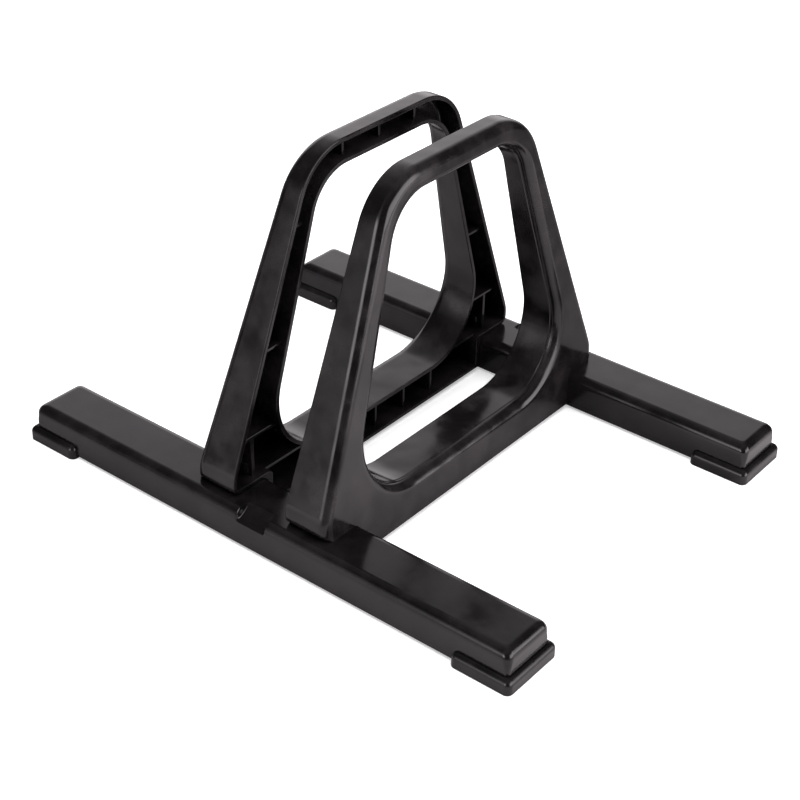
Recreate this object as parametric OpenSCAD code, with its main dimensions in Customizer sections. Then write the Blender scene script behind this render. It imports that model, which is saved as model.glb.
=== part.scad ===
// Floor bike rack: two base rails on four end pads, bridged by two open-backed arches
// that hold a wheel between them. Millimetres, +Z up, floor at z = 0.
// X runs along the rails, Y runs from the front rail to the rear rail.

/* [Rails] */
// Length of each base rail, end face to end face
rail_len = 580; // [480:1:800]
// Width of a rail
rail_w = 60; // [50:0.5:80]
// Height of a rail, from its open underside to its top
rail_h = 36.9; // [33:0.1:60]
// Distance between the middles of the two rails
rail_pitch = 394.2; // [380:0.1:410]
// Radius of the long top edges and the top edges of the ends
rail_edge_r = 9.5; // [5:0.1:12]
// Radius of the upright corners of the rail ends
rail_corner_r = 3; // [1:0.1:4.5]
// Thickness of the side walls and end walls of a rail
rail_side_t = 3.6; // [2.5:0.1:4.5]
// Thickness of the top wall of a rail
rail_top_t = 4; // [2.5:0.1:5]
// Radius of the upright corners inside the rail ends
rail_inner_r = 1; // [0.5:0.1:2]

/* [Rail ribs] */
// Thickness of the cross ribs under a rail
rail_rib_t = 2.6; // [1.5:0.1:4]
// How far the cross ribs stop short of the underside
rail_rib_short = 6; // [6:0.5:12]
// Spacing of the cross ribs, half a space to each side of the middle of an arch
rail_rib_pitch = 58; // [50:0.5:60]
// Thickness of the flat seats under the top wall for the arch screws
seat_t = 2.4; // [2.2:0.1:4]

/* [Tyre ramp] */
// Width of the ramp that is cut in the outer top edge of each rail
ramp_w = 33; // [20:0.5:45]
// How far the ramp reaches in over the top of the rail
ramp_run = 18.6; // [12:0.1:24]
// How far the ramp drops down the side of the rail
ramp_drop = 12; // [6:0.1:18]
// Thickness of the wall kept under the ramp
ramp_t = 3.6; // [2:0.1:5]

/* [Arches] */
// Clear gap between the two arches where they stand on the rails, for the tyre
tyre_gap = 62.6; // [45:0.1:80]
// Depth of an arch across the gap, measured where it stands on the rails
arch_depth = 49.6; // [46:0.1:60]
// How far the outer face of an arch leans in over the height above the rails
arch_lean = 24.3; // [5:0.1:28]
// How far the open side of an arch leans away from the tyre over the same height
open_lean = 1.5; // [0:0.1:4]
// Height of an arch above the top of the rails
arch_rise = 306.8; // [280:0.1:400]
// Half width of the outline at the top, where the straight sides would meet the top
arch_top_y = 102.1; // [98:0.1:115]
// Corner radius of the outline at the top
arch_top_r = 59; // [40:1:70]
// How far a foot reaches out over its rail, from the inner side of the rail
foot_reach = 46.5; // [40:0.1:49]
// Height of the upright part of a foot
foot_rise = 18.5; // [8:0.1:30]
// Radius of the tuck where a foot meets the rail
foot_tuck_r = 4; // [1:0.1:6]
// Height of the underside of the cross beam above the floor
beam_z = 4.6; // [3:0.1:12]
// Thickness of the walls round the outline and the window
arch_wall_t = 4.6; // [3:0.1:6]
// Thickness of the closed outer face
arch_face_t = 4.2; // [2.5:0.1:5.5]
// Thickness of the arch wall beside a rail
saddle_t = 6.2; // [4:0.1:9]
// Radius of that wall where it turns over the rail
saddle_r = 6; // [2:0.1:9]

/* [Arch window] */
// Height of the window floor above the top of the rails
window_rise = 4.2; // [1:0.1:12]
// Depth of the top bar over the window
top_bar_h = 23.7; // [16:0.1:40]
// Width of a leg at the window floor, where the straight sides would meet it
leg_low_w = 39.5; // [36:0.1:50]
// Width of a leg at the top, where the straight sides would meet it
leg_high_w = 13.9; // [12:0.1:24]
// Corner radius of the window at its floor
window_low_r = 67; // [40:1:80]
// Corner radius of the window at its top
window_high_r = 48; // [20:1:55]

/* [Arch ribs] */
// Thickness of the ribs inside an arch
rib_t = 3; // [2:0.1:4]
// Thickness of the upright rib in each foot
foot_rib_t = 4; // [2:0.1:6]
// How far the ribs sit back from the open side
rib_back = 6.8; // [2:0.1:9]
// Spacing of the three ribs in the top bar
top_rib_pitch = 51.6; // [30:0.1:60]
// Spacing of the five ribs in the cross beam
beam_rib_pitch = 45; // [30:0.1:50]
// Height of the level rib in each foot above the top of the rails
foot_rib_rise = 46.8; // [35:0.1:60]
// Height of the middle level rib in each leg above the top of the rails
leg_rib_rise = 128.9; // [90:0.1:160]
// Height of the upper level rib in each leg above the top of the rails
upper_rib_rise = 238.2; // [190:0.1:245]
// Distance of the upright foot rib from the inner side of the rail
foot_rib_in = 12.9; // [10:0.1:20]

/* [End pads] */
// Length of a pad along the rail, from the end face of the rail
pad_len = 57.2; // [40:0.1:80]
// How far a pad stands out past the rail
pad_proud = 5.8; // [4.5:0.1:7.5]
// Thickness of the pad under the rail, which lifts the rail off the floor
pad_base_t = 2.7; // [2:0.1:4]
// Height of the pad sides above the floor
pad_h = 15.2; // [12:0.1:22]
// Radius of the upright corners of a pad
pad_corner_r = 6; // [3:0.1:8]
// Radius of the top edge of a pad
pad_edge_r = 2.4; // [0.5:0.1:3.5]
// Radius of the raised ends of the pad sides
pad_end_r = 4; // [1:0.1:6]
// Height of the plug that fills the mouth of the rail
pad_plug_h = 6; // [3:0.1:6]

/* [Screws and washers] */
// Thread size of the screws that hold the arches
arch_screw_d = 5; // [4:0.1:5.5]
// Length of the arch screws under the head
arch_screw_len = 20; // [16:1:22]
// Head diameter of the arch screws
arch_head_d = 9.5; // [8:0.1:11]
// Head height of the arch screws
arch_head_h = 3.2; // [2.5:0.1:4]
// Outer diameter of the washers
washer_d = 12.5; // [11:0.1:13]
// Thickness of the washers
washer_t = 1.2; // [0.8:0.1:2]
// Diameter of the bosses in the arch feet
boss_d = 12; // [9:0.5:14]
// Height of those bosses above the top of the rail
boss_h = 18; // [17:0.5:26]
// Distance of the first screw in a foot from the open side of the arch
first_screw_x = 16.2; // [14:0.1:18]
// Distance between the two screws in a foot
screw_pitch = 18.5; // [14:0.1:19]
// Thread size of the screws that hold the pads
pad_screw_d = 4; // [3:0.1:5]
// Length of the pad screws under the head
pad_screw_len = 16; // [12:1:20]
// Head diameter of the pad screws
pad_head_d = 8; // [6:0.1:10]
// Head height of the pad screws
pad_head_h = 2.6; // [2:0.1:3]
// Depth of the recess in a pad for the screw head
pad_recess = 3.4; // [3:0.1:4]
// Diameter of the bosses in the rail ends
pad_boss_d = 10; // [8:0.5:16]
// Depth of the cross recess in the screw heads
drive_h = 1.4; // [0.5:0.1:1.6]
// Width across the cross recess
drive_w = 3; // [1:0.1:4]

/* [Fits] */
// Gap between an arch and the inner sides of the rails
saddle_gap = 0.3; // [0.1:0.05:1]
// Gap between a pad and the outside of the rail
pad_gap = 0.3; // [0.1:0.05:1]
// Gap round the pad plug inside the rail
plug_gap = 0.4; // [0.1:0.05:1]
// Extra diameter of the holes that the screws pass through
screw_play = 0.6; // [0.2:0.1:1.5]
// How far a screw core is under its thread size
core_under = 0.6; // [0.4:0.1:1]
// Extra diameter of the pilot holes round the screw cores
pilot_play = 0.2; // [0.1:0.05:0.4]
// Extra diameter of the recesses round the screw heads
head_play = 0.8; // [0.2:0.1:2]

/* [Hidden] */
$fn = 96;
rail_z = pad_base_t;
rail_top = rail_z + rail_h;
half_len = rail_len / 2;
half_w = rail_w / 2;
half_pitch = rail_pitch / 2;
in_x = tyre_gap / 2;
out_x = in_x + arch_depth;
arch_top = rail_top + arch_rise;
window_z = rail_top + window_rise;
window_top = arch_top - top_bar_h;
rail_side_y = half_pitch - half_w;
foot_y = rail_side_y + foot_reach;
foot_rib_y = rail_side_y + foot_rib_in;
window_low_y = foot_y - leg_low_w;
window_high_y = arch_top_y - leg_high_w;
screw_x = [in_x + first_screw_x, in_x + first_screw_x + screw_pitch];
screw_z = rail_top - rail_top_t - seat_t - washer_t;
pad_x = half_len - pad_len / 2;
rib_x0 = in_x + arch_depth / 2 - rail_rib_pitch / 2;
// Overrun that makes a cut run clean through
cut = rail_side_t / 3;

// Corners of the arch outline and of its window in y and z, each with its radius
outline = [[foot_y, rail_top], [foot_y, rail_top + foot_rise], [arch_top_y, arch_top],
    [-arch_top_y, arch_top], [-foot_y, rail_top + foot_rise], [-foot_y, rail_top]];
outline_r = [foot_tuck_r, 0, arch_top_r, arch_top_r, 0, foot_tuck_r];
window = [[window_low_y, window_z], [window_high_y, window_top],
    [-window_high_y, window_top], [-window_low_y, window_z]];
window_r = [window_low_r, window_high_r, window_high_r, window_low_r];

function unit(v) = v / norm(v);
function left_of(v) = [-v[1], v[0]];
function before(p, i) = p[(i + len(p) - 1) % len(p)];
function after(p, i) = p[(i + 1) % len(p)];
// Corners of an anticlockwise outline moved inwards by d, or outwards where d is negative
function inset(p, d) = [for (i = [0 : len(p) - 1])
    let (u = unit(p[i] - before(p, i)), v = unit(after(p, i) - p[i]))
        p[i] + d / (1 + u * v) * (left_of(u) + left_of(v))];
function inset_r(r, d) = [for (i = r) i == 0 ? 0 : max(i - d, 0)];
// Distance from corner i to the ends of its round
function reach(p, r, i) =
    r[i] * tan(acos(unit(p[i] - before(p, i)) * unit(after(p, i) - p[i])) / 2);

// Outline with true round corners
module rounded(p, r) {
    n = len(p) - 1;
    polygon([for (i = [0 : n])
        each [p[i] - reach(p, r, i) * unit(p[i] - before(p, i)),
            p[i] + reach(p, r, i) * unit(after(p, i) - p[i])]]);
    for (i = [0 : n]) if (r[i] > 0) {
        u = unit(p[i] - before(p, i));
        translate(p[i] - reach(p, r, i) * u + r[i] * left_of(u)) circle(r = r[i]);
    }
}

// Rectangle that stands on the middle of its base, with round top corners
module round_topped(w, h, r) {
    rounded([[-w / 2, 0], [w / 2, 0], [w / 2, h], [-w / 2, h]], [0, 0, r, r]);
}

// Rectangle round its own middle, with four round corners
module round_cornered(l, w, r) {
    rounded([[-l / 2, -w / 2], [l / 2, -w / 2], [l / 2, w / 2], [-l / 2, w / 2]], [r, r, r, r]);
}

// Turns a drawing in y and z into a solid that runs from x = a to x = b
module along_x(a, b) {
    translate([a, 0, 0]) rotate([90, 0, 90]) linear_extrude(b - a) children();
}

// Turns a drawing in x and z into a solid that runs from y = a to y = b
module along_y(a, b) {
    translate([0, b, 0]) rotate([90, 0, 0]) linear_extrude(b - a) children();
}

// Block that stands on the middle of its base, with round top edges and upright corners
module soft_block(l, w, h, edge_r, corner_r) {
    intersection() {
        along_x(-l / 2, l / 2) round_topped(w, h, edge_r);
        along_y(-w / 2, w / 2) round_topped(l, h, edge_r);
        linear_extrude(h) round_cornered(l, w, corner_r);
    }
}

// Wedge that the ramp takes out of a rail, moved square to its slope by t into the rail
module ramp_wedge(w, t) {
    down = t * norm([ramp_run, ramp_drop]) / ramp_run;
    translate([0, -half_w, rail_h]) along_x(-w / 2, w / 2)
        polygon([[-ramp_run, -2 * ramp_drop - down], [ramp_run, -down],
            [ramp_run, ramp_drop], [-ramp_run, ramp_drop]]);
}

// What the hollow of a rail leaves standing
module rail_insides() {
    // cross ribs
    for (s = [-1, 1]) for (i = [0 : 3])
        translate([s * (rib_x0 + i * rail_rib_pitch) - rail_rib_t / 2, -half_w, rail_rib_short])
            cube([rail_rib_t, rail_w, rail_h]);
    // flat seats for the arch screws
    for (s = [-1, 1]) translate([s * (screw_x[0] + screw_x[1]) / 2, 0, 0])
        translate([-(screw_pitch + washer_d) / 2 - cut, half_pitch - foot_rib_y - washer_d / 2 - cut,
            rail_h - rail_top_t - seat_t])
            cube([screw_pitch + washer_d + 2 * cut, rail_w, rail_h]);
    // bosses for the pad screws
    for (s = [-1, 1]) translate([s * pad_x, 0, pad_plug_h]) cylinder(d = pad_boss_d, h = rail_h);
    // wall under the ramp
    intersection() {
        ramp_wedge(ramp_w + 2 * rail_side_t, ramp_t);
        translate([-ramp_w, -half_w, 0]) cube([2 * ramp_w, ramp_run, rail_h]);
    }
}

// One rail, drawn on its own middle with its ramp on the -y side
module rail_body() {
    difference() {
        soft_block(rail_len, rail_w, rail_h, rail_edge_r, rail_corner_r);
        difference() {
            translate([0, 0, -cut]) soft_block(rail_len - 2 * rail_side_t, rail_w - 2 * rail_side_t,
                rail_h - rail_top_t + cut, rail_edge_r - rail_side_t, rail_inner_r);
            rail_insides();
        }
        ramp_wedge(ramp_w, 0);
        // holes for the arch screws
        for (s = [-1, 1]) for (x = screw_x) translate([s * x, half_pitch - foot_rib_y, cut])
            cylinder(d = arch_screw_d + screw_play, h = rail_h);
        // pilot holes for the pad screws
        for (s = [-1, 1]) translate([s * pad_x, 0, 0])
            cylinder(d = pad_screw_d - core_under + pilot_play,
                h = pad_recess + pad_screw_len - rail_z + pad_screw_d / 2);
    }
}

module place_rail(rear) {
    rotate([0, 0, rear ? 180 : 0]) translate([0, -half_pitch, rail_z]) children();
}

// Section of both rails, made wider on each side by side and higher by top
module rail_shadow(side, top, r) {
    for (s = [-1, 1]) translate([s * half_pitch, 0]) round_topped(rail_w + 2 * side, rail_top + top, r);
}

// Section of an arch with its window and its saddles over the rails
module arch_sheet() {
    difference() {
        union() {
            rounded(outline, outline_r);
            translate([-half_pitch, beam_z]) square([rail_pitch, rail_top - beam_z]);
        }
        rail_shadow(saddle_gap, 0, rail_edge_r);
        rounded(window, window_r);
    }
}

// Section of the hollow inside an arch
module hollow_sheet() {
    difference() {
        union() {
            rounded(inset(outline, arch_wall_t), inset_r(outline_r, arch_wall_t));
            translate([-half_pitch, beam_z + arch_wall_t]) square([rail_pitch, rail_top]);
        }
        rail_shadow(saddle_gap + saddle_t, arch_wall_t, saddle_r);
        rounded(inset(window, -arch_wall_t), inset_r(window_r, -arch_wall_t));
    }
}

// Ribs of an arch; only what lies in the hollow is kept
module rib_sheet() {
    for (i = [-1 : 1]) translate([i * top_rib_pitch - rib_t / 2, window_top]) square([rib_t, top_bar_h]);
    for (i = [-2 : 2]) translate([i * beam_rib_pitch - rib_t / 2, beam_z]) square([rib_t, rail_top]);
    for (s = [-1, 1]) translate([s * foot_y / 2, rail_top]) {
        for (z = [foot_rib_rise, leg_rib_rise, upper_rib_rise])
            translate([-foot_y / 2, z - rib_t / 2]) square([foot_y, rib_t]);
        translate([s * (foot_rib_y - foot_y / 2) - foot_rib_t / 2, 0]) square([foot_rib_t, foot_rib_rise]);
    }
    for (s = [-1, 1]) translate([s * rail_side_y / 2, window_z - rib_t / 2])
        square([rail_side_y, rib_t], center = true);
}

// Space between the open side and the leaning outer face of the right arch,
// starting behind the open side by front and ending inside the outer face by back
module between_sides(front, back) {
    z = [0, arch_top + cut];
    near = [for (i = z) in_x + open_lean * (i - rail_top) / arch_rise + front];
    far = [for (i = z) out_x - arch_lean * (i - rail_top) / arch_rise - back];
    along_y(-foot_y - cut, foot_y + cut)
        polygon([[near[0], z[0]], [far[0], z[0]], [far[1], z[1]], [near[1], z[1]]]);
}

module at_foot_bosses() {
    for (s = [-1, 1]) for (x = screw_x) translate([x, s * foot_rib_y, 0]) children();
}

// The arch on the right of the tyre gap
module arch_body() {
    difference() {
        intersection() {
            along_x(0, 2 * out_x) arch_sheet();
            between_sides(0, 0);
        }
        difference() {
            intersection() {
                along_x(0, 2 * out_x) hollow_sheet();
                between_sides(-cut, arch_face_t);
            }
            intersection() {
                along_x(0, 2 * out_x) rib_sheet();
                between_sides(rib_back, 0);
            }
            at_foot_bosses() translate([0, 0, rail_top]) cylinder(d = boss_d, h = boss_h);
        }
        // pilot holes for the arch screws
        at_foot_bosses() translate([0, 0, rail_top - cut])
            cylinder(d = arch_screw_d - core_under + pilot_play,
                h = screw_z + arch_screw_len - rail_top + cut + arch_screw_d / 4);
    }
}

// The pad at the +x end of a rail, drawn on the middle of the rail
module pad_body() {
    l = pad_len + pad_proud;
    w = rail_w + 2 * pad_proud;
    plug_w = rail_w - 2 * (rail_side_t + plug_gap);
    difference() {
        translate([half_len + pad_proud - l / 2, 0, 0]) intersection() {
            soft_block(l, w, pad_h, pad_edge_r, pad_corner_r);
            along_y(-w / 2, w / 2)
                rounded([[-l / 2, 0], [l / 2, 0], [l / 2, pad_h], [-l / 2, pad_h]],
                    [0, 0, pad_edge_r, pad_end_r]);
        }
        difference() {
            // room for the end of the rail
            translate([pad_gap, 0, rail_z]) linear_extrude(rail_h)
                round_cornered(rail_len, rail_w + 2 * pad_gap, rail_corner_r + pad_gap);
            // plug in the mouth of the rail
            translate([half_len - pad_len, -plug_w / 2, 0])
                cube([pad_len - rail_side_t - plug_gap, plug_w, rail_z + pad_plug_h]);
        }
        translate([pad_x, 0, -cut]) cylinder(d = pad_screw_d + screw_play, h = pad_h + cut);
        translate([pad_x, 0, -cut]) cylinder(d = pad_head_d + head_play, h = pad_recess + cut);
    }
}

module place_pad(front, left) {
    translate([0, front ? -half_pitch : half_pitch, 0]) mirror([left ? 1 : 0, 0, 0]) children();
}

// Pan head screw with its head down and the bearing side of the head at z = 0
module screw(d, l, head_d, head_h) {
    core_d = d - core_under;
    difference() {
        union() {
            translate([0, 0, -head_h]) cylinder(d1 = head_d - head_h, d2 = head_d, h = head_h / 2);
            translate([0, 0, -head_h / 2]) cylinder(d = head_d, h = head_h / 2);
            cylinder(d = core_d, h = l - d / 2);
            translate([0, 0, l - d / 2]) cylinder(d1 = core_d, d2 = d / 3, h = d / 2);
        }
        for (a = [0, 90]) rotate([0, 0, a])
            translate([-drive_w / 2, -drive_w / 8, -head_h - cut])
                cube([drive_w, drive_w / 4, drive_h + cut]);
    }
}

module rail_front() { color("#1a1a1c") place_rail(false) rail_body(); }
module rail_rear() { color("#1a1a1c") place_rail(true) rail_body(); }
module arch_left() { color("#202022") rotate([0, 0, 180]) arch_body(); }
module arch_right() { color("#202022") arch_body(); }
module pad_front_left() { color("#141415") place_pad(true, true) pad_body(); }
module pad_front_right() { color("#141415") place_pad(true, false) pad_body(); }
module pad_rear_left() { color("#141415") place_pad(false, true) pad_body(); }
module pad_rear_right() { color("#141415") place_pad(false, false) pad_body(); }
module arch_screws() {
    color("Silver") for (turn = [0, 180]) rotate([0, 0, turn]) at_foot_bosses() translate([0, 0, screw_z])
        screw(arch_screw_d, arch_screw_len, arch_head_d, arch_head_h);
}
module arch_screw_washers() {
    color("LightGray") for (turn = [0, 180]) rotate([0, 0, turn]) at_foot_bosses() translate([0, 0, screw_z])
        difference() {
            cylinder(d = washer_d, h = washer_t);
            translate([0, 0, -cut]) cylinder(d = arch_screw_d + screw_play, h = washer_t + 2 * cut);
        }
}
module pad_screws() {
    color("Silver") for (front = [true, false]) for (left = [true, false])
        place_pad(front, left) translate([pad_x, 0, pad_recess])
            screw(pad_screw_d, pad_screw_len, pad_head_d, pad_head_h);
}

rail_front();
rail_rear();
arch_left();
arch_right();
pad_front_left();
pad_front_right();
pad_rear_left();
pad_rear_right();
arch_screws();
arch_screw_washers();
pad_screws();
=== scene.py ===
"""Floor bike rack in black moulded plastic: two base rails on end pads, bridged by two
open-backed arches. Metres, in the frame of the CAD model: X runs along the rails, Y across
them from front to rear, Z up from the floor."""

import math

import bmesh
import bpy
from mathutils import Matrix, Vector


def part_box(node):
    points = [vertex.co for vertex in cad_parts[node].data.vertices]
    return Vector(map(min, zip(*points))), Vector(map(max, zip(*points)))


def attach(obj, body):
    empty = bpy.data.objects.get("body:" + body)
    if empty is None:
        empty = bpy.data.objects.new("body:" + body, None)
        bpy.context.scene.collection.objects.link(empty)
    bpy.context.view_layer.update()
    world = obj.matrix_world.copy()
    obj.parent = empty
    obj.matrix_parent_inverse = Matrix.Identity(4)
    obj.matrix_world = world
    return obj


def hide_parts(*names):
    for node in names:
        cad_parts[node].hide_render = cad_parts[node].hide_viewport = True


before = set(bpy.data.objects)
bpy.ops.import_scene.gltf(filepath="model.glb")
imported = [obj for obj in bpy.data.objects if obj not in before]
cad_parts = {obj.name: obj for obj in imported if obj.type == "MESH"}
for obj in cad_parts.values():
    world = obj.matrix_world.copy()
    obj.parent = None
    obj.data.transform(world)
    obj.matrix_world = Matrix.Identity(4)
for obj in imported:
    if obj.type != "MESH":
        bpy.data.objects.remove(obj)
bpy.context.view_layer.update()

MM = 0.001

# Rails. Their box, like that of the pads and the arches, is the one of the CAD model
rail_low, rail_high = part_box("rail_rear")
RAIL_Z = rail_low.z
RAIL_TOP = rail_high.z
RAIL_SIDE_Y = rail_low.y
RAIL_MID_Y = (rail_low.y + rail_high.y) / 2
RAIL_HALF_L = rail_high.x
RAIL_HALF_W = rail_high.y - RAIL_MID_Y
RAIL_EDGE_R = 9.5 * MM
RAIL_CORNER_R = 4.5 * MM
RAIL_BALL_R = 7 * MM
RAIL_TOP_CORNER_R = 3 * MM
RAIL_BALL_RUN = 9 * MM
RAIL_SIDE_T = 3.6 * MM
RAIL_TOP_T = 4 * MM
RAIL_RIB_T = 2.6 * MM
RAIL_RIB_SHORT = 6 * MM
RAIL_RIB_XS = [(27.1 + 58 * i) * MM for i in range(4)]
SEAT_T = 2.4 * MM
SEAT_HALF_L = 16.7 * MM
SEAT_HALF_W = 7.5 * MM

# Ramp that lets the tyre roll up over the outer edge of a rail
RAMP_RUN = 18.6 * MM
RAMP_DROP = 12 * MM
RAMP_T = 3.6 * MM
RAMP_HALF_W = 16.5 * MM
RAMP_DRAFT = 3.4 * MM
RAMP_START = 0.3 * MM  # how far off the rail's surface its cutter begins
RAMP_FADE = 6
RAMP_LINE_STEPS = 16
RAMP_END_STEPS = 10

# End pads
pad_low, pad_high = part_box("pad_rear_right")
PAD_IN_X = pad_low.x
PAD_OUT_X = pad_high.x
PAD_HALF_W = pad_high.y - RAIL_MID_Y
PAD_H = pad_high.z
PAD_CORNER_R = 6 * MM
PAD_EDGE_R = 7.5 * MM
PAD_EDGE_TURN = math.radians(62)
PAD_EDGE_SHARES = (1.35, 1.35, 1.35, 1.25)  # front, outer end, rear, inner end
PAD_GAP = 0.4 * MM
PAD_LIP_R = 0.6 * MM
PAD_FOOT_R = 0.6 * MM
PAD_SCREW_X = 261.4 * MM
PAD_BOSS_R = 5 * MM
PLUG_H = 6 * MM
PLUG_GAP = 0.4 * MM

# Arch on the right of the tyre gap
arch_low, arch_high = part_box("arch_right")
ARCH_TOP = arch_high.z
ARCH_RISE = ARCH_TOP - RAIL_TOP
BEAM_Z = arch_low.z
FOOT_Y = arch_high.y
OPEN_X = 31.3 * MM
FACE_X = 80.9 * MM
OPEN_LEAN = 1.5 * MM
FACE_LEAN = 24.3 * MM
TOP_Y = 102.1 * MM
TOP_R = 62 * MM
FOOT_RISE = 18.5 * MM
FOOT_TUCK_R = 9 * MM
FOOT_BEND_R = 32 * MM
SADDLE_GAP = 0.3 * MM
WALL_T = 4.6 * MM
FACE_T = 4.2 * MM
SADDLE_T = 6.2 * MM
SADDLE_R = 6 * MM
FACE_EDGE_R = 9.5 * MM
INNER_EDGE_R = 5 * MM
RIM_R = 1.3 * MM
LIP_R = 0.8 * MM
SOFT_R = 0.5 * MM
LEAST_R = 0.05 * MM

# The sides of the arch's outline, in order: end of the beam, saddle, foot, leg, top, leg, foot,
# saddle, end of the beam, bottom of the beam
FACE_EDGE_SHARES = (0, 0, 1, 1, 1, 1, 1, 0, 0, 0.1)
ARCH_WALLS = (SADDLE_T, *[WALL_T] * 7, SADDLE_T, WALL_T)

# Window of an arch
WINDOW_Z = RAIL_TOP + 4.2 * MM
WINDOW_TOP = ARCH_TOP - 23.7 * MM
WINDOW_LOW_Y = 174.1 * MM
WINDOW_HIGH_Y = 88.2 * MM
WINDOW_LOW_R = 67 * MM
WINDOW_HIGH_R = 48 * MM
WINDOW_OPEN_INSETS = (1 * MM, 2 * MM, 1 * MM, -0.4 * MM)
PARTING_STEP = 0.6 * MM
PARTING_DEPTH = 11 * MM

# Ribs and bosses inside an arch
RIB_T = 3 * MM
RIB_BACK = 6.8 * MM
RIB_EDGE_R = 0.5 * MM
FOOT_RIB_T = 4 * MM
FOOT_RIB_Y = 180 * MM
FOOT_RIB_RISE = 46.8 * MM
FOOT_RIB_STEP = 0.25 * MM
LEG_RIB_RISES = (128.9 * MM, 238.2 * MM)
TOP_RIB_PITCH = 51.6 * MM
BEAM_RIB_PITCH = 45 * MM
BOSS_R = 6 * MM
BOSS_H = 18 * MM
BOSS_XS = (47.5 * MM, 66 * MM)

# Holes and recesses of the screws
ARCH_SCREW_HOLE_R = 2.8 * MM
ARCH_SCREW_HOLE_Z = RAIL_TOP - 3 * RAIL_TOP_T
PAD_HOLE_R = 2.3 * MM
PAD_RECESS = 3.4 * MM
PAD_RECESS_R = 4.4 * MM
PAD_PILOT_R = 1.8 * MM
PAD_PILOT_TOP = 21.4 * MM

# How far a cutter runs past what it cuts
OVERRUN = 5 * MM

# How finely round corners, broad edges, lips and round bars are stepped
ARC_STEP = math.radians(5)
EDGE_STEPS = 10
LIP_STEPS = 4
ROUND_SIDES = 48

# Edges that turn by more than this stay crisp
SHARP_ANGLE = math.radians(32)

HALF_TURN = Matrix.Rotation(math.pi, 4, "Z")
MIRROR_X = Matrix.Scale(-1, 4, (1, 0, 0))


# Outlines

def cross(a, b):
    return a.x * b.y - a.y * b.x


def moved_corners(corners, insets):
    """Corners of an anticlockwise outline after each side has moved inwards by its own inset.
    Side i runs from corner i to the next one."""
    count = len(corners)
    sides = []
    for i in range(count):
        along = (corners[(i + 1) % count] - corners[i]).normalized()
        sides.append((corners[i] + Vector((-along.y, along.x)) * insets[i], along))
    moved = []
    for i in range(count):
        (p, u), (q, v) = sides[i - 1], sides[i]
        moved.append(p + u * (cross(q - p, v) / cross(u, v)))
    return moved


def rectangle(low_x, low_y, high_x, high_y):
    return [Vector(c) for c in ((low_x, low_y), (high_x, low_y), (high_x, high_y), (low_x, high_y))]


def one_each(value, count):
    """The same value for every corner or side, unless there already is one for each."""
    return value if hasattr(value, "__len__") else [value] * count


def ring(corners, radii, insets):
    """Points of an anticlockwise outline with round corners, after its sides have moved
    inwards. A radius of 0 leaves a corner all but square. The number of points doesn't depend
    on the insets."""
    count = len(corners)
    radii, insets = one_each(radii, count), one_each(insets, count)
    moved = moved_corners(corners, insets)
    points = []
    for i in range(count):
        before = (moved[i] - moved[i - 1]).normalized()
        after = (moved[(i + 1) % count] - moved[i]).normalized()
        turn = math.atan2(cross(before, after), before.dot(after))
        side = math.copysign(1, turn)
        grown = max(insets[i - 1], insets[i], key=abs)
        radius = max(radii[i] - side * grown, LEAST_R)
        start = moved[i] - before * radius * math.tan(abs(turn) / 2)
        centre = start + Vector((-before.y, before.x)) * radius * side
        steps = max(3, round(abs(turn) / ARC_STEP + 0.2)) if radii[i] > 0 else 1
        for k in range(steps + 1):
            angle = turn * k / steps
            arm = start - centre
            points.append(centre + Vector((arm.x * math.cos(angle) - arm.y * math.sin(angle),
                                           arm.x * math.sin(angle) + arm.y * math.cos(angle))))
    return points


def rounded(radius, steps, turn=math.pi / 2):
    """Insets and depths of a rounded edge, from the wall it starts on to the face it ends on. A
    turn of less than 90 degrees leaves a crease at the face."""
    angles = [turn * k / steps for k in range(steps + 1)]
    return [(radius * (1 - math.cos(a)), radius * (math.sin(turn) - math.sin(a))) for a in angles]


def eased(low, high, part):
    """Goes from low to high with a soft start and a soft end."""
    return low + (high - low) * part * part * (3 - 2 * part)


# Solids

def solid(name, bm):
    """Object from a bmesh, with its faces turned outwards."""
    bmesh.ops.recalc_face_normals(bm, faces=bm.faces)
    mesh = bpy.data.meshes.new(name)
    bm.to_mesh(mesh)
    bm.free()
    piece = bpy.data.objects.new(name, mesh)
    bpy.context.scene.collection.objects.link(piece)
    return piece


def loft(name, rings):
    """Closed solid through rings that have the same number of points."""
    bm = bmesh.new()
    rows = [[bm.verts.new(p) for p in points] for points in rings]
    count = len(rings[0])
    for low, high in zip(rows, rows[1:]):
        for i in range(count):
            bm.faces.new((low[i], low[(i + 1) % count], high[(i + 1) % count], high[i]))
    bm.faces.new(rows[0])
    bm.faces.new(rows[-1])
    return solid(name, bm)


def level(points, z):
    """Lays an outline flat at height z."""
    return [(p.x, p.y, z) for p in points]


def block(name, low, high):
    """Square-edged solid between two corners."""
    plan = rectangle(*low[:2], *high[:2])
    return loft(name, [level(plan, low[2]), level(plan, high[2])])


def upright(name, x, y, low, high, radius):
    """Upright round bar or hole."""
    angles = [math.tau * k / ROUND_SIDES for k in range(ROUND_SIDES)]
    around = [(x + radius * math.cos(a), y + radius * math.sin(a)) for a in angles]
    return loft(name, [[(*p, z) for p in around] for z in (low, high)])


def cut(piece, *cutters):
    """Takes the cutters out of the piece and deletes them."""
    for cutter in cutters:
        modifier = piece.modifiers.new("cut", "BOOLEAN")
        modifier.operation = "DIFFERENCE"
        modifier.solver = "EXACT"
        modifier.object = cutter
        apply_modifiers(piece)
        bpy.data.objects.remove(cutter)
    return piece


def apply_modifiers(piece):
    evaluated = piece.evaluated_get(bpy.context.evaluated_depsgraph_get())
    mesh = bpy.data.meshes.new_from_object(evaluated)
    piece.modifiers.clear()
    old = piece.data
    piece.data = mesh
    bpy.data.meshes.remove(old)


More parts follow.
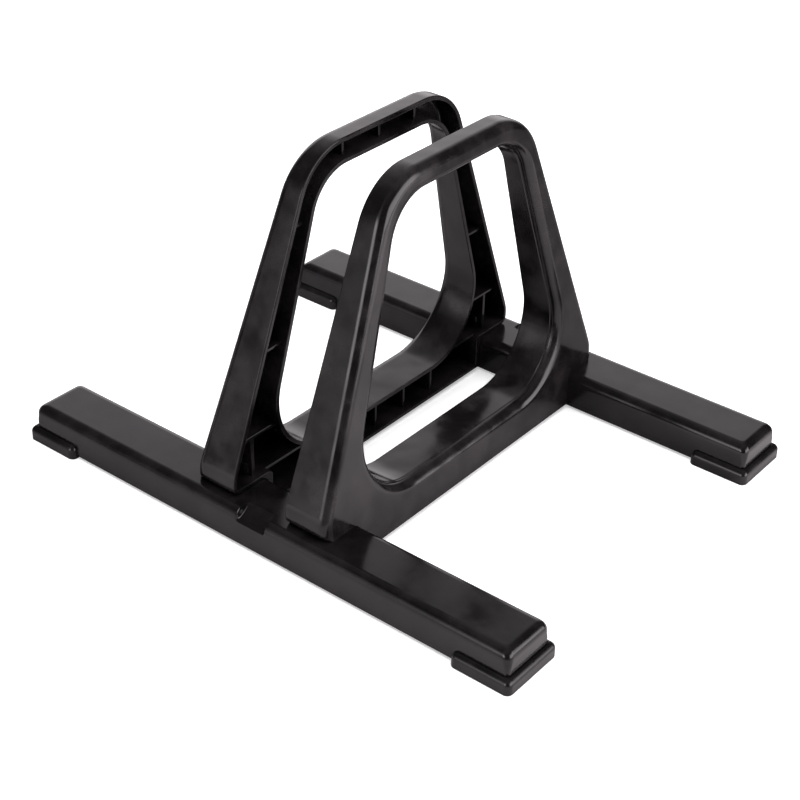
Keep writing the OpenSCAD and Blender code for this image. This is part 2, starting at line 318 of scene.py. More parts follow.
def smooth(piece):
    """Smooth shading that keeps flat faces flat and corners crisp."""
    piece.data.shade_smooth()
    piece.data.set_sharp_from_angle(angle=SHARP_ANGLE)
    weighted = piece.modifiers.new("flat faces", "WEIGHTED_NORMAL")
    weighted.keep_sharp = True


def copy_of(piece, name, change):
    """A copy of the piece, turned or mirrored about the middle of the rack."""
    twin = bpy.data.objects.new(name, piece.data.copy())
    bpy.context.scene.collection.objects.link(twin)
    twin.data.transform(change)
    if change.determinant() < 0:
        twin.data.flip_normals()
    return twin


# Arch

def open_x(z):
    return OPEN_X + OPEN_LEAN * (z - RAIL_TOP) / ARCH_RISE


def face_x(z):
    return FACE_X - FACE_LEAN * (z - RAIL_TOP) / ARCH_RISE


def at_open(points, depth):
    """Lays an outline in the open side of the arch, or depth behind it."""
    return [(open_x(p.y) + depth, p.x, p.y) for p in points]


def at_face(points, depth):
    """Lays an outline in the outer face of the arch, or depth under it."""
    return [(face_x(p.y) - depth, p.x, p.y) for p in points]


def both_sides(right):
    """Corners and radii of an outline from its right half, given as (y, z, radius)."""
    corners = right + [(-y, z, radius) for y, z, radius in reversed(right)]
    return [Vector(c[:2]) for c in corners], [c[2] for c in corners]


def outline_of_arch():
    """Corners and radii of the arch round its feet, its saddles over the rails and its beam."""
    beam_y = RAIL_SIDE_Y - SADDLE_GAP
    return both_sides([(beam_y, BEAM_Z, SOFT_R), (beam_y, RAIL_TOP, RAIL_EDGE_R),
                       (FOOT_Y, RAIL_TOP, FOOT_TUCK_R), (FOOT_Y, RAIL_TOP + FOOT_RISE, FOOT_BEND_R),
                       (TOP_Y, ARCH_TOP, TOP_R)])


def outline_of_window():
    return both_sides([(WINDOW_LOW_Y, WINDOW_Z, WINDOW_LOW_R),
                       (WINDOW_HIGH_Y, WINDOW_TOP, WINDOW_HIGH_R)])


def window_insets(inset):
    """Insets of the window in the open side of the arch."""
    return [inset + own for own in WINDOW_OPEN_INSETS]


def arch_shell():
    """Outside of an arch: rounded rim, walls, and a broad round on the free edges of the face."""
    corners, radii = outline_of_arch()
    rings = [at_open(ring(corners, radii, i), d) for i, d in reversed(rounded(RIM_R, LIP_STEPS))]
    rings += [at_face(ring(corners, radii, [i * s for s in FACE_EDGE_SHARES]), d)
              for i, d in rounded(FACE_EDGE_R, EDGE_STEPS)]
    return loft("arch_shell", rings)


def window_cutter():
    """The window, with its rounded edges and the fine step where the two mould halves meet."""
    corners, radii = outline_of_window()
    rings = [at_open(ring(corners, radii, window_insets(-LIP_R)), -OVERRUN)]
    rings += [at_open(ring(corners, radii, window_insets(-i)), d)
              for i, d in reversed(rounded(LIP_R, LIP_STEPS))]
    rings.append(at_face(ring(corners, radii, 0), PARTING_DEPTH + PARTING_STEP))
    rings.append(at_face(ring(corners, radii, -PARTING_STEP), PARTING_DEPTH))
    rings += [at_face(ring(corners, radii, -PARTING_STEP - i), d)
              for i, d in rounded(FACE_EDGE_R, EDGE_STEPS)]
    rings.append(at_face(ring(corners, radii, -PARTING_STEP - FACE_EDGE_R), -OVERRUN))
    return loft("window_cutter", rings)


def hollow_cutter():
    """The hollow behind the open side, out to the inside of the walls round the outline."""
    inner = moved_corners(outline_of_arch()[0], ARCH_WALLS)
    inner_r = [SOFT_R, SADDLE_R, SOFT_R, SOFT_R, TOP_R - WALL_T]
    inner_r += inner_r[::-1]
    rings = [at_open(ring(inner, inner_r, -LIP_R), -OVERRUN)]
    rings += [at_open(ring(inner, inner_r, -i), d) for i, d in reversed(rounded(LIP_R, LIP_STEPS))]
    rings += [at_face(ring(inner, inner_r, i), FACE_T + d)
              for i, d in rounded(INNER_EDGE_R, EDGE_STEPS)]
    return loft("hollow_cutter", rings)


def window_wall():
    """What the hollow leaves standing round the window."""
    corners, radii = outline_of_window()
    rings = [at_open(ring(corners, radii, window_insets(LIP_R - WALL_T)), -2 * OVERRUN)]
    rings += [at_open(ring(corners, radii, window_insets(i - WALL_T)), d)
              for i, d in reversed(rounded(LIP_R, LIP_STEPS))]
    rings += [at_face(ring(corners, radii, -WALL_T - i), FACE_T + d)
              for i, d in rounded(INNER_EDGE_R, EDGE_STEPS)]
    rings.append(at_face(ring(corners, radii, -WALL_T - INNER_EDGE_R), 0))
    return loft("window_wall", rings)


def rib(low_y, low_z, high_y, high_z, back=RIB_BACK):
    """Flat rib between the face and a line behind the open side, with rounded front edges."""
    corners = rectangle(low_y, low_z, high_y, high_z)
    rings = [at_open(ring(corners, 0, i), back + d)
             for i, d in reversed(rounded(RIB_EDGE_R, LIP_STEPS))]
    rings.append(at_face(ring(corners, 0, 0), 0))
    return loft("rib", rings)


def arch_ribs():
    half = RIB_T / 2
    ribs = [rib(i * TOP_RIB_PITCH - half, WINDOW_TOP, i * TOP_RIB_PITCH + half, ARCH_TOP)
            for i in (-1, 0, 1)]
    ribs += [rib(i * BEAM_RIB_PITCH - half, BEAM_Z, i * BEAM_RIB_PITCH + half, WINDOW_Z)
             for i in (-2, -1, 0, 1, 2)]
    leg_rib_zs = [RAIL_TOP + rise for rise in (FOOT_RIB_RISE, *LEG_RIB_RISES)]
    for side in (-1, 1):
        low_y, high_y = sorted((0, side * FOOT_Y))
        ribs += [rib(low_y, z - half, high_y, z + half) for z in leg_rib_zs]
        middle = side * FOOT_RIB_Y
        ribs.append(rib(middle - FOOT_RIB_T / 2, RAIL_TOP, middle + FOOT_RIB_T / 2,
                        RAIL_TOP + FOOT_RIB_RISE, RIB_BACK + FOOT_RIB_STEP))
        low_y, high_y = sorted((0, side * RAIL_SIDE_Y))
        ribs.append(rib(low_y, WINDOW_Z - RIB_T, high_y, WINDOW_Z))
    return ribs


def make_arch(name):
    hollow = cut(hollow_cutter(), window_wall(), *arch_ribs(),
                 *[upright("boss", x, side * FOOT_RIB_Y, BEAM_Z, RAIL_TOP + BOSS_H, BOSS_R)
                   for side in (-1, 1) for x in BOSS_XS])
    arch = cut(arch_shell(), window_cutter(), hollow)
    arch.name = name
    return arch


# Rails

def rail_plan():
    """Plan of a rail that is drawn on its own middle, with its outer side towards -y."""
    return rectangle(-RAIL_HALF_L, -RAIL_HALF_W, RAIL_HALF_L, RAIL_HALF_W)


def rail_shell():
    """Outside of a rail: long round edges that run into ball-like corners at the ends."""
    plan = rail_plan()
    rings = [level(ring(plan, RAIL_CORNER_R, i), RAIL_Z + d)
             for i, d in reversed(rounded(RIM_R, LIP_STEPS))]
    for k in range(LIP_STEPS + 1):
        part = k / LIP_STEPS
        rings.append(level(ring(plan, eased(RAIL_CORNER_R, RAIL_BALL_R, part), 0),
                           RAIL_TOP - RAIL_EDGE_R - RAIL_BALL_RUN * (1 - part)))
    for i, d in rounded(RAIL_EDGE_R, EDGE_STEPS)[1:]:
        radius = RAIL_BALL_R + (RAIL_TOP_CORNER_R - RAIL_BALL_R) * i / RAIL_EDGE_R
        rings.append(level(ring(plan, radius + i, i), RAIL_TOP - d))
    return loft("rail_shell", rings)


def rail_hollow():
    """The hollow under a rail, round its ribs, bosses, screw seats and the wall of the ramp."""
    plan = rail_plan()
    rings = [level(ring(plan, RAIL_CORNER_R, RAIL_SIDE_T), RAIL_Z - OVERRUN)]
    rings += [level(ring(plan, RAIL_CORNER_R, RAIL_SIDE_T + i), RAIL_TOP - RAIL_TOP_T - d)
              for i, d in rounded(RAIL_EDGE_R - RAIL_SIDE_T, EDGE_STEPS)]
    hollow = loft("rail_hollow", rings)
    kept = []
    for side in (-1, 1):
        kept += [block("rib", (side * x - RAIL_RIB_T / 2, -RAIL_HALF_W, RAIL_Z + RAIL_RIB_SHORT),
                       (side * x + RAIL_RIB_T / 2, RAIL_HALF_W, RAIL_TOP)) for x in RAIL_RIB_XS]
        middle = side * sum(BOSS_XS) / 2
        kept.append(block("seat", (middle - SEAT_HALF_L, RAIL_MID_Y - FOOT_RIB_Y - SEAT_HALF_W,
                                   RAIL_TOP - RAIL_TOP_T - SEAT_T),
                          (middle + SEAT_HALF_L, RAIL_HALF_W, RAIL_TOP)))
        kept.append(upright("boss", side * PAD_SCREW_X, 0, RAIL_Z + PLUG_H, RAIL_TOP, PAD_BOSS_R))
    down = RAMP_T * math.hypot(RAMP_RUN, RAMP_DROP) / RAMP_RUN
    foot_y, head_y = -RAIL_HALF_W, RAMP_RUN - RAIL_HALF_W
    section = [(foot_y, RAIL_TOP - RAMP_DROP - down), (head_y, RAIL_TOP - down),
               (head_y, RAIL_TOP), (foot_y, RAIL_TOP)]
    reach = RAMP_HALF_W + RAMP_DRAFT + RAIL_SIDE_T
    kept.append(loft("ramp_wall", [[(x, *p) for p in section] for x in (-reach, reach)]))
    return cut(hollow, *kept)


def ramp_section(x, sunk, lowered):
    """Section of the ramp cutter at x. Its lower line lies in the surface of the rail, sunk under
    it, and moves down to the slope of the ramp as lowered goes from 0 to 1."""
    side, arc = RAMP_DROP - RAIL_EDGE_R, RAIL_EDGE_R * math.pi / 2
    line = []
    for k in range(RAMP_LINE_STEPS + 1):
        part = k / RAMP_LINE_STEPS
        slope = Vector((-RAIL_HALF_W + RAMP_RUN * part, RAIL_TOP - RAMP_DROP * (1 - part)))
        # the same share of the way over the surface: up the side, round the edge, over the top
        way = (side + arc + RAMP_RUN - RAIL_EDGE_R) * part
        if way < side:
            out = Vector((-1, 0))
            skin = Vector((-RAIL_HALF_W, RAIL_TOP - RAMP_DROP + way))
        elif way < side + arc:
            angle = (way - side) / RAIL_EDGE_R
            out = Vector((-math.cos(angle), math.sin(angle)))
            skin = Vector((RAIL_EDGE_R - RAIL_HALF_W, RAIL_TOP - RAIL_EDGE_R)) + out * RAIL_EDGE_R
        else:
            out = Vector((0, 1))
            skin = Vector((-RAIL_HALF_W + way - side - arc + RAIL_EDGE_R, RAIL_TOP))
        # neither end of the line sinks
        held = min(1, RAMP_FADE * part, RAMP_FADE * (1 - part))
        line.append(skin.lerp(slope, lowered) - out * sunk * held)
    past_y, past_z = -RAIL_HALF_W - OVERRUN, RAIL_TOP + OVERRUN
    line += [Vector((line[-1].x, past_z)), Vector((past_y, past_z)), Vector((past_y, line[0].y))]
    return [(x, p.x, p.y) for p in line]


def ramp_cutter():
    """Takes the ramp out of a rail. Its end walls curve over at the top and out at the foot."""
    right = [(RAMP_HALF_W + RAMP_DRAFT / 2 + RAMP_START, -RAMP_START, 0)]
    for k in range(1, RAMP_END_STEPS + 1):
        part = k / RAMP_END_STEPS
        right.append((RAMP_HALF_W + RAMP_DRAFT * (0.5 - part), 0, eased(0, 1, part)))
    stations = [(-x, sunk, lowered) for x, sunk, lowered in right] + right[::-1]
    return loft("ramp_cutter", [ramp_section(*s) for s in stations])


def make_rail(name):
    """The front rail, in its place."""
    holes = [upright("hole", side * x, RAIL_MID_Y - FOOT_RIB_Y, ARCH_SCREW_HOLE_Z,
                     RAIL_TOP + OVERRUN, ARCH_SCREW_HOLE_R) for side in (-1, 1) for x in BOSS_XS]
    pilots = [upright("pilot", side * PAD_SCREW_X, 0, RAIL_Z, PAD_PILOT_TOP, PAD_PILOT_R)
              for side in (-1, 1)]
    rail = cut(rail_shell(), rail_hollow(), ramp_cutter(), *holes, *pilots)
    rail.data.transform(Matrix.Translation((0, -RAIL_MID_Y, 0)))
    rail.name = name
    return rail


# End pads

def make_pad(name):
    """The pad at the right end of the front rail, in its place."""
    plan = rectangle(PAD_IN_X, -PAD_HALF_W, PAD_OUT_X, PAD_HALF_W)
    rings = [level(ring(plan, PAD_CORNER_R, i), d)
             for i, d in reversed(rounded(PAD_FOOT_R, LIP_STEPS))]
    rings += [level(ring(plan, PAD_CORNER_R, [i * s for s in PAD_EDGE_SHARES]), PAD_H - d)
              for i, d in rounded(PAD_EDGE_R, EDGE_STEPS, PAD_EDGE_TURN)]
    pad = loft(name, rings)
    rail_end = rail_plan()
    room = [level(ring(rail_end, RAIL_CORNER_R, -PAD_GAP), RAIL_Z)]
    room += [level(ring(rail_end, RAIL_CORNER_R, i - PAD_GAP - PAD_LIP_R), PAD_H - PAD_LIP_R + d)
             for i, d in reversed(rounded(PAD_LIP_R, LIP_STEPS))]
    room.append(level(ring(rail_end, RAIL_CORNER_R, -PAD_GAP - PAD_LIP_R), PAD_H + OVERRUN))
    plug_y = RAIL_HALF_W - RAIL_SIDE_T - PLUG_GAP
    plug = block("plug", (PAD_IN_X, -plug_y, -OVERRUN),
                 (RAIL_HALF_L - RAIL_SIDE_T - PLUG_GAP, plug_y, RAIL_Z + PLUG_H))
    cut(pad, cut(loft("room", room), plug),
        upright("hole", PAD_SCREW_X, 0, -OVERRUN, PAD_H, PAD_HOLE_R),
        upright("recess", PAD_SCREW_X, 0, -OVERRUN, PAD_RECESS, PAD_RECESS_R))
    pad.data.transform(Matrix.Translation((0, -RAIL_MID_Y, 0)))
    return pad


# Materials

# Skin of the mouldings: scales of its noises in 1/m, and heights of its layers in metres
GRAIN_SCALE = 1700
PEEL_SCALE = 190
WAVE_SCALE = 30
STREAK_STRETCH = (900, 35, 35)
CLOUD_SCALE = 24
CLOUD_SPAN = (0.35, 0.68)
SKIN_HEIGHTS = {"Grain": 1.5e-6, "Peel": 8e-6, "Wave": 1e-4, "Streak": 1e-6}

# Scuffs: three turns of their lines, each with its fineness, and the patches that they lie in
SCUFF_LINES = (((0.3, 0.2, 0.5), 900), ((0.9, 0.5, -0.7), 1300), ((-0.5, 1.1, 1.9), 1100))
SCUFF_ALONG = 14
SCUFF_SPAN = (0.7, 0.78)
SCUFF_DEPTH = 1e-6
PATCH_SCALE = 17
PATCH_LIMIT = 0.78
PATCH_GROWTH = 0.4
PATCH_SOFT = 0.1

# Plastic: how its colour and its roughness change where it's bare, filmed over or scuffed
PLASTIC_IOR = 1.45
BARE_SHADE = 0.6
SCUFF_SHADE = 2
SCUFF_ROUGHER = 0.1

# Zinc: the two shades of its clouds, its grain and its roughness
ZINC_DARK = (0.52, 0.53, 0.55, 1)
ZINC_PALE = (0.63, 0.62, 0.6, 1)
ZINC_GRAIN = 4e-6
ZINC_ROUGHNESS = 0.32
ZINC_SCUFF_ROUGHER = 0.2


def new_material(name):
    material = bpy.data.materials.new(name)
    material.use_nodes = True
    return material, material.node_tree, material.node_tree.nodes["Principled BSDF"]


def connect(tree, source, target):
    """Links a socket, or sets the target to a plain value."""
    if hasattr(source, "links"):
        tree.links.new(source, target)
    else:
        target.default_value = source


def math_node(tree, operation, *values):
    node = tree.nodes.new("ShaderNodeMath")
    node.operation = operation
    for socket, value in zip(node.inputs, values):
        connect(tree, value, socket)
    return node.outputs["Value"]


def fade(tree, source, span, start=0, end=1):
    """Goes smoothly from start to end while the source crosses the span."""
    node = tree.nodes.new("ShaderNodeMapRange")
    node.interpolation_type = "SMOOTHSTEP"
    for name, value in (("Value", source), ("From Min", span[0]), ("From Max", span[1]),
                        ("To Min", start), ("To Max", end)):
        connect(tree, value, node.inputs[name])
    return node.outputs["Result"]


def blend(tree, factor, low, high, kind="FLOAT"):
    """Goes from low to high as the factor goes from 0 to 1."""
    node = tree.nodes.new("ShaderNodeMix")
    node.data_type = kind
    for name, value in (("Factor", factor), ("A", low), ("B", high)):
        connect(tree, value, node.inputs[name])
    return node.outputs["Result"]


def noise(tree, vector, scale, detail=2, roughness=0.5):
    node = tree.nodes.new("ShaderNodeTexNoise")
    for name, value in (("Vector", vector), ("Scale", scale), ("Detail", detail),
                        ("Roughness", roughness)):
        connect(tree, value, node.inputs[name])
    return node.outputs["Fac"]


def stretched(tree, vector, turn, stretch):
    node = tree.nodes.new("ShaderNodeMapping")
    for name, value in (("Vector", vector), ("Rotation", turn), ("Scale", stretch)):
        connect(tree, value, node.inputs[name])
    return node.outputs["Vector"]


def node_group(name, inputs, outputs):
    """Empty shader group with float sockets, apart from a vector called Place."""
    tree = bpy.data.node_groups.new(name, "ShaderNodeTree")
    tree.interface.new_socket("Place", in_out="INPUT", socket_type="NodeSocketVector")
    for label, value in inputs.items():
        socket = tree.interface.new_socket(label, in_out="INPUT", socket_type="NodeSocketFloat")
        socket.default_value = value
    for label in outputs:
        tree.interface.new_socket(label, in_out="OUTPUT", socket_type="NodeSocketFloat")
    return tree, tree.nodes.new("NodeGroupInput"), tree.nodes.new("NodeGroupOutput")


def make_moulded_skin():
    """Skin of a moulded part: fine grain, orange peel, slow waves and flow streaks. Height is in
    metres. Cloud is a slow mask for gloss and shade."""
    tree, given, out = node_group("moulded_skin", SKIN_HEIGHTS, ("Height", "Cloud"))
    place = given.outputs["Place"]
    streaks = stretched(tree, place, (0, 0, 0), STREAK_STRETCH)
    layers = (("Grain", noise(tree, place, GRAIN_SCALE)),
              ("Peel", noise(tree, place, PEEL_SCALE)),
              ("Wave", noise(tree, place, WAVE_SCALE, detail=1)),
              ("Streak", noise(tree, streaks, scale=1)))
    total = 0.0
    for name, layer in layers:
        total = math_node(tree, "MULTIPLY_ADD", layer, given.outputs[name], total)
    tree.links.new(total, out.inputs["Height"])
    clouds = noise(tree, place, CLOUD_SCALE, detail=4, roughness=0.6)
    tree.links.new(fade(tree, clouds, CLOUD_SPAN), out.inputs["Cloud"])
    return tree


def make_scuffs():
    """Mask of short fine scratches that cross in three directions, in patches."""
    tree, given, out = node_group("scuffs", {"Density": 0.5}, ("Mask",))
    place = given.outputs["Place"]
    marks = 0.0
    for turn, fineness in SCUFF_LINES:
        across = stretched(tree, place, turn, (fineness, SCUFF_ALONG, fineness))
        lines = fade(tree, noise(tree, across, scale=1, detail=1), SCUFF_SPAN)
        marks = math_node(tree, "MAXIMUM", marks, lines)
    limit = math_node(tree, "MULTIPLY_ADD", given.outputs["Density"], -PATCH_GROWTH, PATCH_LIMIT)
    patches = fade(tree, noise(tree, place, PATCH_SCALE, detail=3),
                   (limit, math_node(tree, "ADD", limit, PATCH_SOFT)))
    tree.links.new(math_node(tree, "MULTIPLY", marks, patches), out.inputs["Mask"])
    return tree


def use_group(tree, group, **values):
    """Places a group on the coordinates of the piece, with its own values."""
    node = tree.nodes.new("ShaderNodeGroup")
    node.node_tree = group
    place = tree.nodes.new("ShaderNodeTexCoord")
    tree.links.new(place.outputs["Object"], node.inputs["Place"])
    for name, value in values.items():
        node.inputs[name].default_value = value
    return node


def emboss(tree, shader, height):
    """Gives the surface a relief whose height is in metres."""
    bump = tree.nodes.new("ShaderNodeBump")
    bump.inputs["Distance"].default_value = 1
    tree.links.new(height, bump.inputs["Height"])
    tree.links.new(bump.outputs["Normal"], shader.inputs["Normal"])


def moulded_plastic(name, colour, film, roughness, dulling, scuffing, **heights):
    """Black moulded plastic with a cloudy film that lightens and dulls it, and fine scuffs."""
    material, tree, shader = new_material(name)
    skin = use_group(tree, moulded_skin, **heights)
    marks = use_group(tree, scuffs, Density=scuffing)
    cloud, mask = skin.outputs["Cloud"], marks.outputs["Mask"]
    bare, filmed, scuffed = [(*(c * share for c in colour), 1)
                             for share in (BARE_SHADE, film, SCUFF_SHADE)]
    shade = blend(tree, cloud, bare, filmed, "RGBA")
    tree.links.new(blend(tree, mask, shade, scuffed, "RGBA"), shader.inputs["Base Color"])
    dull = fade(tree, cloud, (0, 1), roughness, roughness + dulling)
    tree.links.new(math_node(tree, "MULTIPLY_ADD", mask, SCUFF_ROUGHER, dull),
                   shader.inputs["Roughness"])
    shader.inputs["IOR"].default_value = PLASTIC_IOR
    height = math_node(tree, "MULTIPLY_ADD", mask, -SCUFF_DEPTH, skin.outputs["Height"])
    emboss(tree, shader, height)
    return material


def zinc_steel(name, scuffing):
    """Zinc plated steel, slightly clouded, with fine scuffs."""
    material, tree, shader = new_material(name)
    skin = use_group(tree, moulded_skin, Grain=ZINC_GRAIN, Peel=0, Wave=0, Streak=0)
    marks = use_group(tree, scuffs, Density=scuffing)
    shade = blend(tree, skin.outputs["Cloud"], ZINC_DARK, ZINC_PALE, "RGBA")
    tree.links.new(shade, shader.inputs["Base Color"])
    shader.inputs["Metallic"].default_value = 1
    tree.links.new(math_node(tree, "MULTIPLY_ADD", marks.outputs["Mask"], ZINC_SCUFF_ROUGHER,
                             ZINC_ROUGHNESS), shader.inputs["Roughness"])
    emboss(tree, shader, skin.outputs["Height"])
    return material


def dress(piece, material):
    piece.data.materials.clear()
    piece.data.materials.append(material)


def put_in_place(piece, node, material):
    smooth(piece)
    dress(piece, material)
    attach(piece, "root")
    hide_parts(node)


# Studio

CAMERA_AZIMUTH = math.radians(37.9445)
CAMERA_ELEVATION = math.radians(32.7182)
CAMERA_ROLL = math.radians(1.503)
CAMERA_PLACE = Vector((0.871815, -1.127935, 0.971519))
CAMERA_LENS_MM = 77.168
CAMERA_SENSOR_MM = 36

# Walls of the studio: their brightness by the sine of the height above the horizon, and the
# sectors that they fill, each with its two limits as across / ahead and their softness
WORLD_STRENGTH = 2.0
ROOM = ((0, 0.02), (0.7, 0.02), (1, 0.1))
BACKDROP = ((0, 0.72), (0.2, 0.8), (0.4, 0.76), (0.5, 0.53), (0.57, 0.49), (0.66, 0.2),
            (0.8, 0.12), (1, 0.12))
BACKDROP_SECTOR = (-20, -0.22, 0.2)
LEFT_WALL = ((0, 0.37), (0.12, 0.34), (0.27, 0.28), (0.42, 0.18), (0.6, 0), (1, 0))
LEFT_WALL_SECTOR = (-0.75, -0.42, 0.14)
FRONT_STRIP = ((0, 0.8), (0.08, 1.2), (0.16, 2.7), (0.35, 2.9), (0.5, 0.4), (0.8, 0.08), (1, 0))
FRONT_STRIP_SECTOR = (-0.42, 0.08, 0.16)
RIGHT_PANEL = ((0, 2.3), (0.48, 2.3), (0.57, 0.6), (0.65, 0), (1, 0))
RIGHT_PANEL_SECTOR = (-0.28, 0.92, 0.06)
LIGHT_TINT = (1, 0.955, 0.98)

# A sector fades out where its direction hardly points ahead any more
AHEAD_SPAN = (0.1, 0.35)
LEAST_AHEAD = 0.01

# Soft light overhead
OVERHEAD_PLACE = (0, 0.1, 2.6)
OVERHEAD_SIZE = (3.4, 3.4)
OVERHEAD_POWER = 120

# Floor as the camera sees it, with a painted glow that lifts the rack's shadow out of its white
FLOOR_HALF = 6.0
FLOOR_WHITE = 0.92
FLOOR_GLOW = 0.45
FLOOR_ROUGHNESS = 0.9

# Painted shade and painted light in the floor's colour, which only the rack's reflections see: the
# brightness of the floor as the rack mirrors it
FLOOR_TINT = (1, 0.94, 0.97)
FLOOR_FRONT = 0.4
FLOOR_FRONT_RIGHT = 0.62
FLOOR_UNDER_SHADE = 0.3
FLOOR_RIGHT = 0.77
FLOOR_LEFT_SHARE = 0.12
FLOOR_BRIGHT = 0.72
FLOOR_PAINTED_GLARE = 2.05
FLOOR_FAR = 0.2
FLOOR_LANE = 0.75
FLOOR_DARK = 0.1

# Where one brightness goes over into the next, in metres, and two sectors like the walls' ones
BESIDE_ARCH_X = (0.05, 0.22)
BESIDE_ARCH_Y = (0.08, 0.16)
BESIDE_RAILS_X = (0.27, 0.31)
LEFT_X = (-0.17, -0.05)
FRONT_X = (-0.25, 0.27)
FRONT_Y = (-0.24, -0.2)
GLARE_SECTOR = (-0.25, 0.9, 0.15)
GLARE_OUT = (0.65, 1.1)
FAR_OUT = (0.36, 0.6)
LANE_SECTOR = (-0.58, 0.15, 0.14)
LANE_FORWARD = (0.32, 0.5)


def place_camera():
    a, e, r = CAMERA_AZIMUTH, CAMERA_ELEVATION, CAMERA_ROLL
    back = Vector((math.sin(a) * math.cos(e), -math.cos(a) * math.cos(e), math.sin(e)))
    level_right = Vector((math.cos(a), math.sin(a), 0))
    level_up = back.cross(level_right)
    right = math.cos(r) * level_right + math.sin(r) * level_up
    up = -math.sin(r) * level_right + math.cos(r) * level_up
    data = bpy.data.cameras.new("camera")
    data.lens = CAMERA_LENS_MM
    data.sensor_width = CAMERA_SENSOR_MM
    camera = bpy.data.objects.new("camera", data)
    bpy.context.scene.collection.objects.link(camera)
    camera.matrix_world = Matrix.LocRotScale(
        CAMERA_PLACE, Matrix((right, up, back)).transposed(), None)
    bpy.context.scene.camera = camera


def softbox(name, place, target, size, power):
    data = bpy.data.lights.new(name, "AREA")
    data.shape = "RECTANGLE"
    data.size, data.size_y = size
    data.energy = power
    light = bpy.data.objects.new(name, data)
    bpy.context.scene.collection.objects.link(light)
    light.location = place
    light.rotation_mode = "QUATERNION"
    light.rotation_quaternion = (Vector(target) - Vector(place)).to_track_quat("-Z", "Y")
    return light


def brightness_by(tree, source, stops):
    """Colour ramp whose stops are (position, brightness)."""
    node = tree.nodes.new("ShaderNodeValToRGB")
    elements = node.color_ramp.elements
    while len(elements) < len(stops):
        elements.new(1)
    for element, (position, value) in zip(elements, stops):
        element.position = position
        element.color = (value, value, value, 1)
    tree.links.new(source, node.inputs["Fac"])
    return node.outputs["Color"]


def sector(tree, across, ahead, limits):
    """Mask of the directions whose across / ahead lies between two limits, which are soft."""
    low, high, soft = limits
    ratio = math_node(tree, "DIVIDE", across, math_node(tree, "MAXIMUM", ahead, LEAST_AHEAD))
    mask = math_node(tree, "MULTIPLY", fade(tree, ratio, (low - soft, low + soft)),
                     fade(tree, ratio, (high - soft, high + soft), 1, 0))
    return math_node(tree, "MULTIPLY", mask, fade(tree, ahead, AHEAD_SPAN))


def tinted(tree, value, tint):
    node = tree.nodes.new("ShaderNodeVectorMath")
    node.operation = "SCALE"
    node.inputs["Vector"].default_value = tint
    tree.links.new(value, node.inputs["Scale"])
    return node.outputs["Vector"]


def axes_of(tree, output):
    place = tree.nodes.new("ShaderNodeTexCoord")
    axes = tree.nodes.new("ShaderNodeSeparateXYZ")
    tree.links.new(place.outputs[output], axes.inputs["Vector"])
    return [axes.outputs[name] for name in "XYZ"]


def painted_floor_shade_and_light(tree):
    """Painted shade and painted light in the floor's colour, seen in what the rack mirrors: dim
    under the rack, where its own shade falls, bright beside it, dim further out, and a bright lane
    in front of it."""
    x, y, _ = axes_of(tree, "Object")
    out = math_node(tree, "SQRT", math_node(tree, "ADD", math_node(tree, "MULTIPLY", x, x),
                                            math_node(tree, "MULTIPLY", y, y)))
    beside = math_node(tree, "MULTIPLY", fade(tree, x, BESIDE_ARCH_X),
                       fade(tree, y, BESIDE_ARCH_Y, 1, 0))
    beside = math_node(tree, "MAXIMUM", beside, fade(tree, x, BESIDE_RAILS_X))
    beside = math_node(tree, "MAXIMUM", beside, fade(tree, x, LEFT_X, FLOOR_LEFT_SHARE, 0))
    front = fade(tree, x, FRONT_X, FLOOR_FRONT, FLOOR_FRONT_RIGHT)
    near = blend(tree, fade(tree, y, FRONT_Y), front,
                 blend(tree, beside, FLOOR_UNDER_SHADE, FLOOR_RIGHT))
    glare = blend(tree, fade(tree, out, GLARE_OUT), FLOOR_BRIGHT, FLOOR_PAINTED_GLARE)
    far = blend(tree, sector(tree, y, x, GLARE_SECTOR), FLOOR_FAR, glare)
    around = blend(tree, fade(tree, out, FAR_OUT), near, far)
    forward = math_node(tree, "SUBTRACT", 0, y)
    lane = blend(tree, sector(tree, x, forward, LANE_SECTOR), FLOOR_DARK, FLOOR_LANE)
    return blend(tree, fade(tree, forward, LANE_FORWARD), around, lane)


def lay_floor():
    """White floor with painted light: it glows for the camera, and its colour in the rack's
    reflections is painted with shade and light.
    """
    bm = bmesh.new()
    plan = rectangle(-FLOOR_HALF, -FLOOR_HALF, FLOOR_HALF, FLOOR_HALF)
    bm.faces.new([bm.verts.new(p) for p in level(plan, 0)])
    floor = solid("floor", bm)
    material, tree, shader = new_material("pale_floor")
    # painted shade and painted light: the floor's colour as glossy rays see it
    painted_floor = tinted(tree, painted_floor_shade_and_light(tree), FLOOR_TINT)
    path = tree.nodes.new("ShaderNodeLightPath")
    white = (FLOOR_WHITE, FLOOR_WHITE, FLOOR_WHITE, 1)
    tree.links.new(blend(tree, path.outputs["Is Glossy Ray"], white, painted_floor, "RGBA"),
                   shader.inputs["Base Color"])
    # open from below, so that the underside can be seen
    side = tree.nodes.new("ShaderNodeNewGeometry")
    tree.links.new(math_node(tree, "SUBTRACT", 1, side.outputs["Backfacing"]),
                   shader.inputs["Alpha"])
    # painted light: the floor glows for the camera alone, so that the rack's shadow hardly shows on
    # its white
    shader.inputs["Emission Color"].default_value = (1, 1, 1, 1)
    tree.links.new(math_node(tree, "MULTIPLY", path.outputs["Is Camera Ray"], FLOOR_GLOW),
                   shader.inputs["Emission Strength"])
    shader.inputs["Roughness"].default_value = FLOOR_ROUGHNESS
    shader.inputs["Specular IOR Level"].default_value = 0
    dress(floor, material)


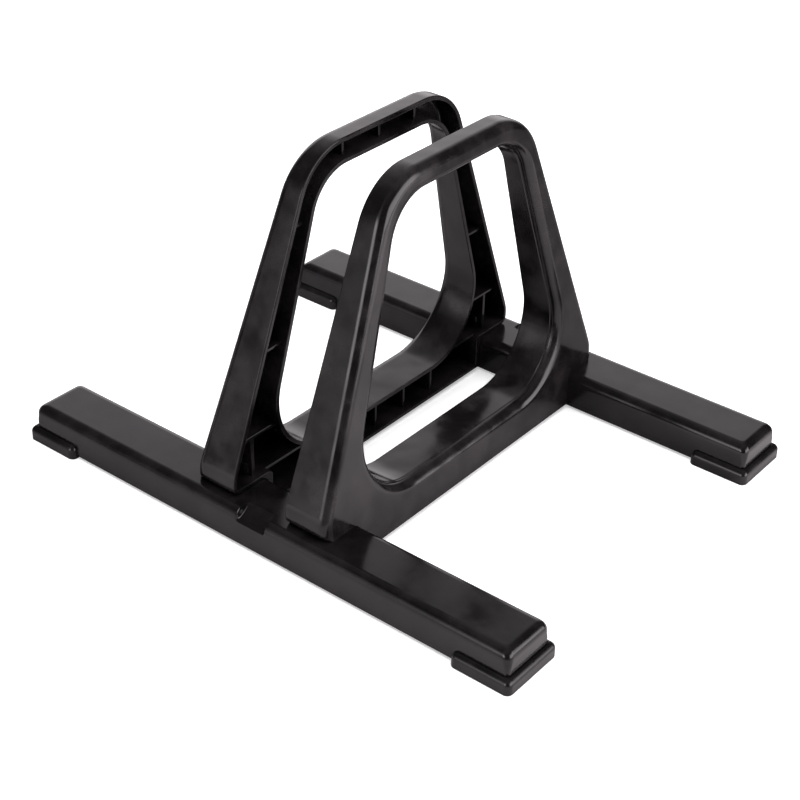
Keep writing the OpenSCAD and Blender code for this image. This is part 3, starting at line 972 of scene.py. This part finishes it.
def light_studio():
    """Bright backdrop behind the rack on the left, lit walls to the left, in front and to the
    right, darkness round the camera and soft light overhead."""
    world = bpy.data.worlds.new("studio")
    world.use_nodes = True
    tree = world.node_tree
    x, y, z = axes_of(tree, "Generated")
    forward = math_node(tree, "SUBTRACT", 0, y)
    total = brightness_by(tree, z, ROOM)
    walls = ((sector(tree, x, y, BACKDROP_SECTOR), BACKDROP),
             (sector(tree, x, forward, LEFT_WALL_SECTOR), LEFT_WALL),
             (sector(tree, x, forward, FRONT_STRIP_SECTOR), FRONT_STRIP),
             (sector(tree, y, x, RIGHT_PANEL_SECTOR), RIGHT_PANEL))
    for mask, stops in walls:
        total = math_node(tree, "MULTIPLY_ADD", mask, brightness_by(tree, z, stops), total)
    background = tree.nodes["Background"]
    tree.links.new(tinted(tree, total, LIGHT_TINT), background.inputs["Color"])
    background.inputs["Strength"].default_value = WORLD_STRENGTH
    bpy.context.scene.world = world
    bpy.context.scene.view_settings.view_transform = "Standard"
    overhead = softbox("overhead", OVERHEAD_PLACE, (0, 0, 0), OVERHEAD_SIZE, OVERHEAD_POWER)
    overhead.visible_glossy = False


# The rack: its materials, then its pieces, then what stands round it

moulded_skin = make_moulded_skin()
scuffs = make_scuffs()
satin_black = moulded_plastic(
    "satin_black", (0.0067, 0.0058, 0.0063), film=2.4, roughness=0.13, dulling=0.1, scuffing=0.15,
    Grain=2e-6, Peel=8e-6, Wave=7e-4, Streak=0)
gloss_black = moulded_plastic(
    "gloss_black", (0.0062, 0.0054, 0.0058), film=1.6, roughness=0.13, dulling=0.07, scuffing=0.12,
    Grain=2e-6, Peel=7e-6, Wave=1.4e-4, Streak=2e-6)
pad_black = moulded_plastic(
    "pad_black", (0.0062, 0.0055, 0.0058), film=1.6, roughness=0.2, dulling=0.06, scuffing=0.1,
    Grain=2.5e-6, Peel=5e-6, Wave=1e-4, Streak=0)
zinc = zinc_steel("zinc", scuffing=0.6)

right_arch = make_arch("arch_right_moulding")
left_arch = copy_of(right_arch, "arch_left_moulding", HALF_TURN)
put_in_place(left_arch, "arch_left", satin_black)
put_in_place(right_arch, "arch_right", satin_black)

front_rail = make_rail("rail_front_moulding")
rear_rail = copy_of(front_rail, "rail_rear_moulding", HALF_TURN)
put_in_place(rear_rail, "rail_rear", gloss_black)
put_in_place(front_rail, "rail_front", gloss_black)

right_pad = make_pad("pad_front_right_moulding")
left_pad = copy_of(right_pad, "pad_front_left_moulding", MIRROR_X)
rear_left_pad = copy_of(right_pad, "pad_rear_left_moulding", HALF_TURN)
rear_right_pad = copy_of(left_pad, "pad_rear_right_moulding", HALF_TURN)
put_in_place(rear_left_pad, "pad_rear_left", pad_black)
put_in_place(rear_right_pad, "pad_rear_right", pad_black)
put_in_place(right_pad, "pad_front_right", pad_black)
put_in_place(left_pad, "pad_front_left", pad_black)

for node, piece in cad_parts.items():
    if "screw" in node:
        dress(piece, zinc)

place_camera()
lay_floor()
light_studio()
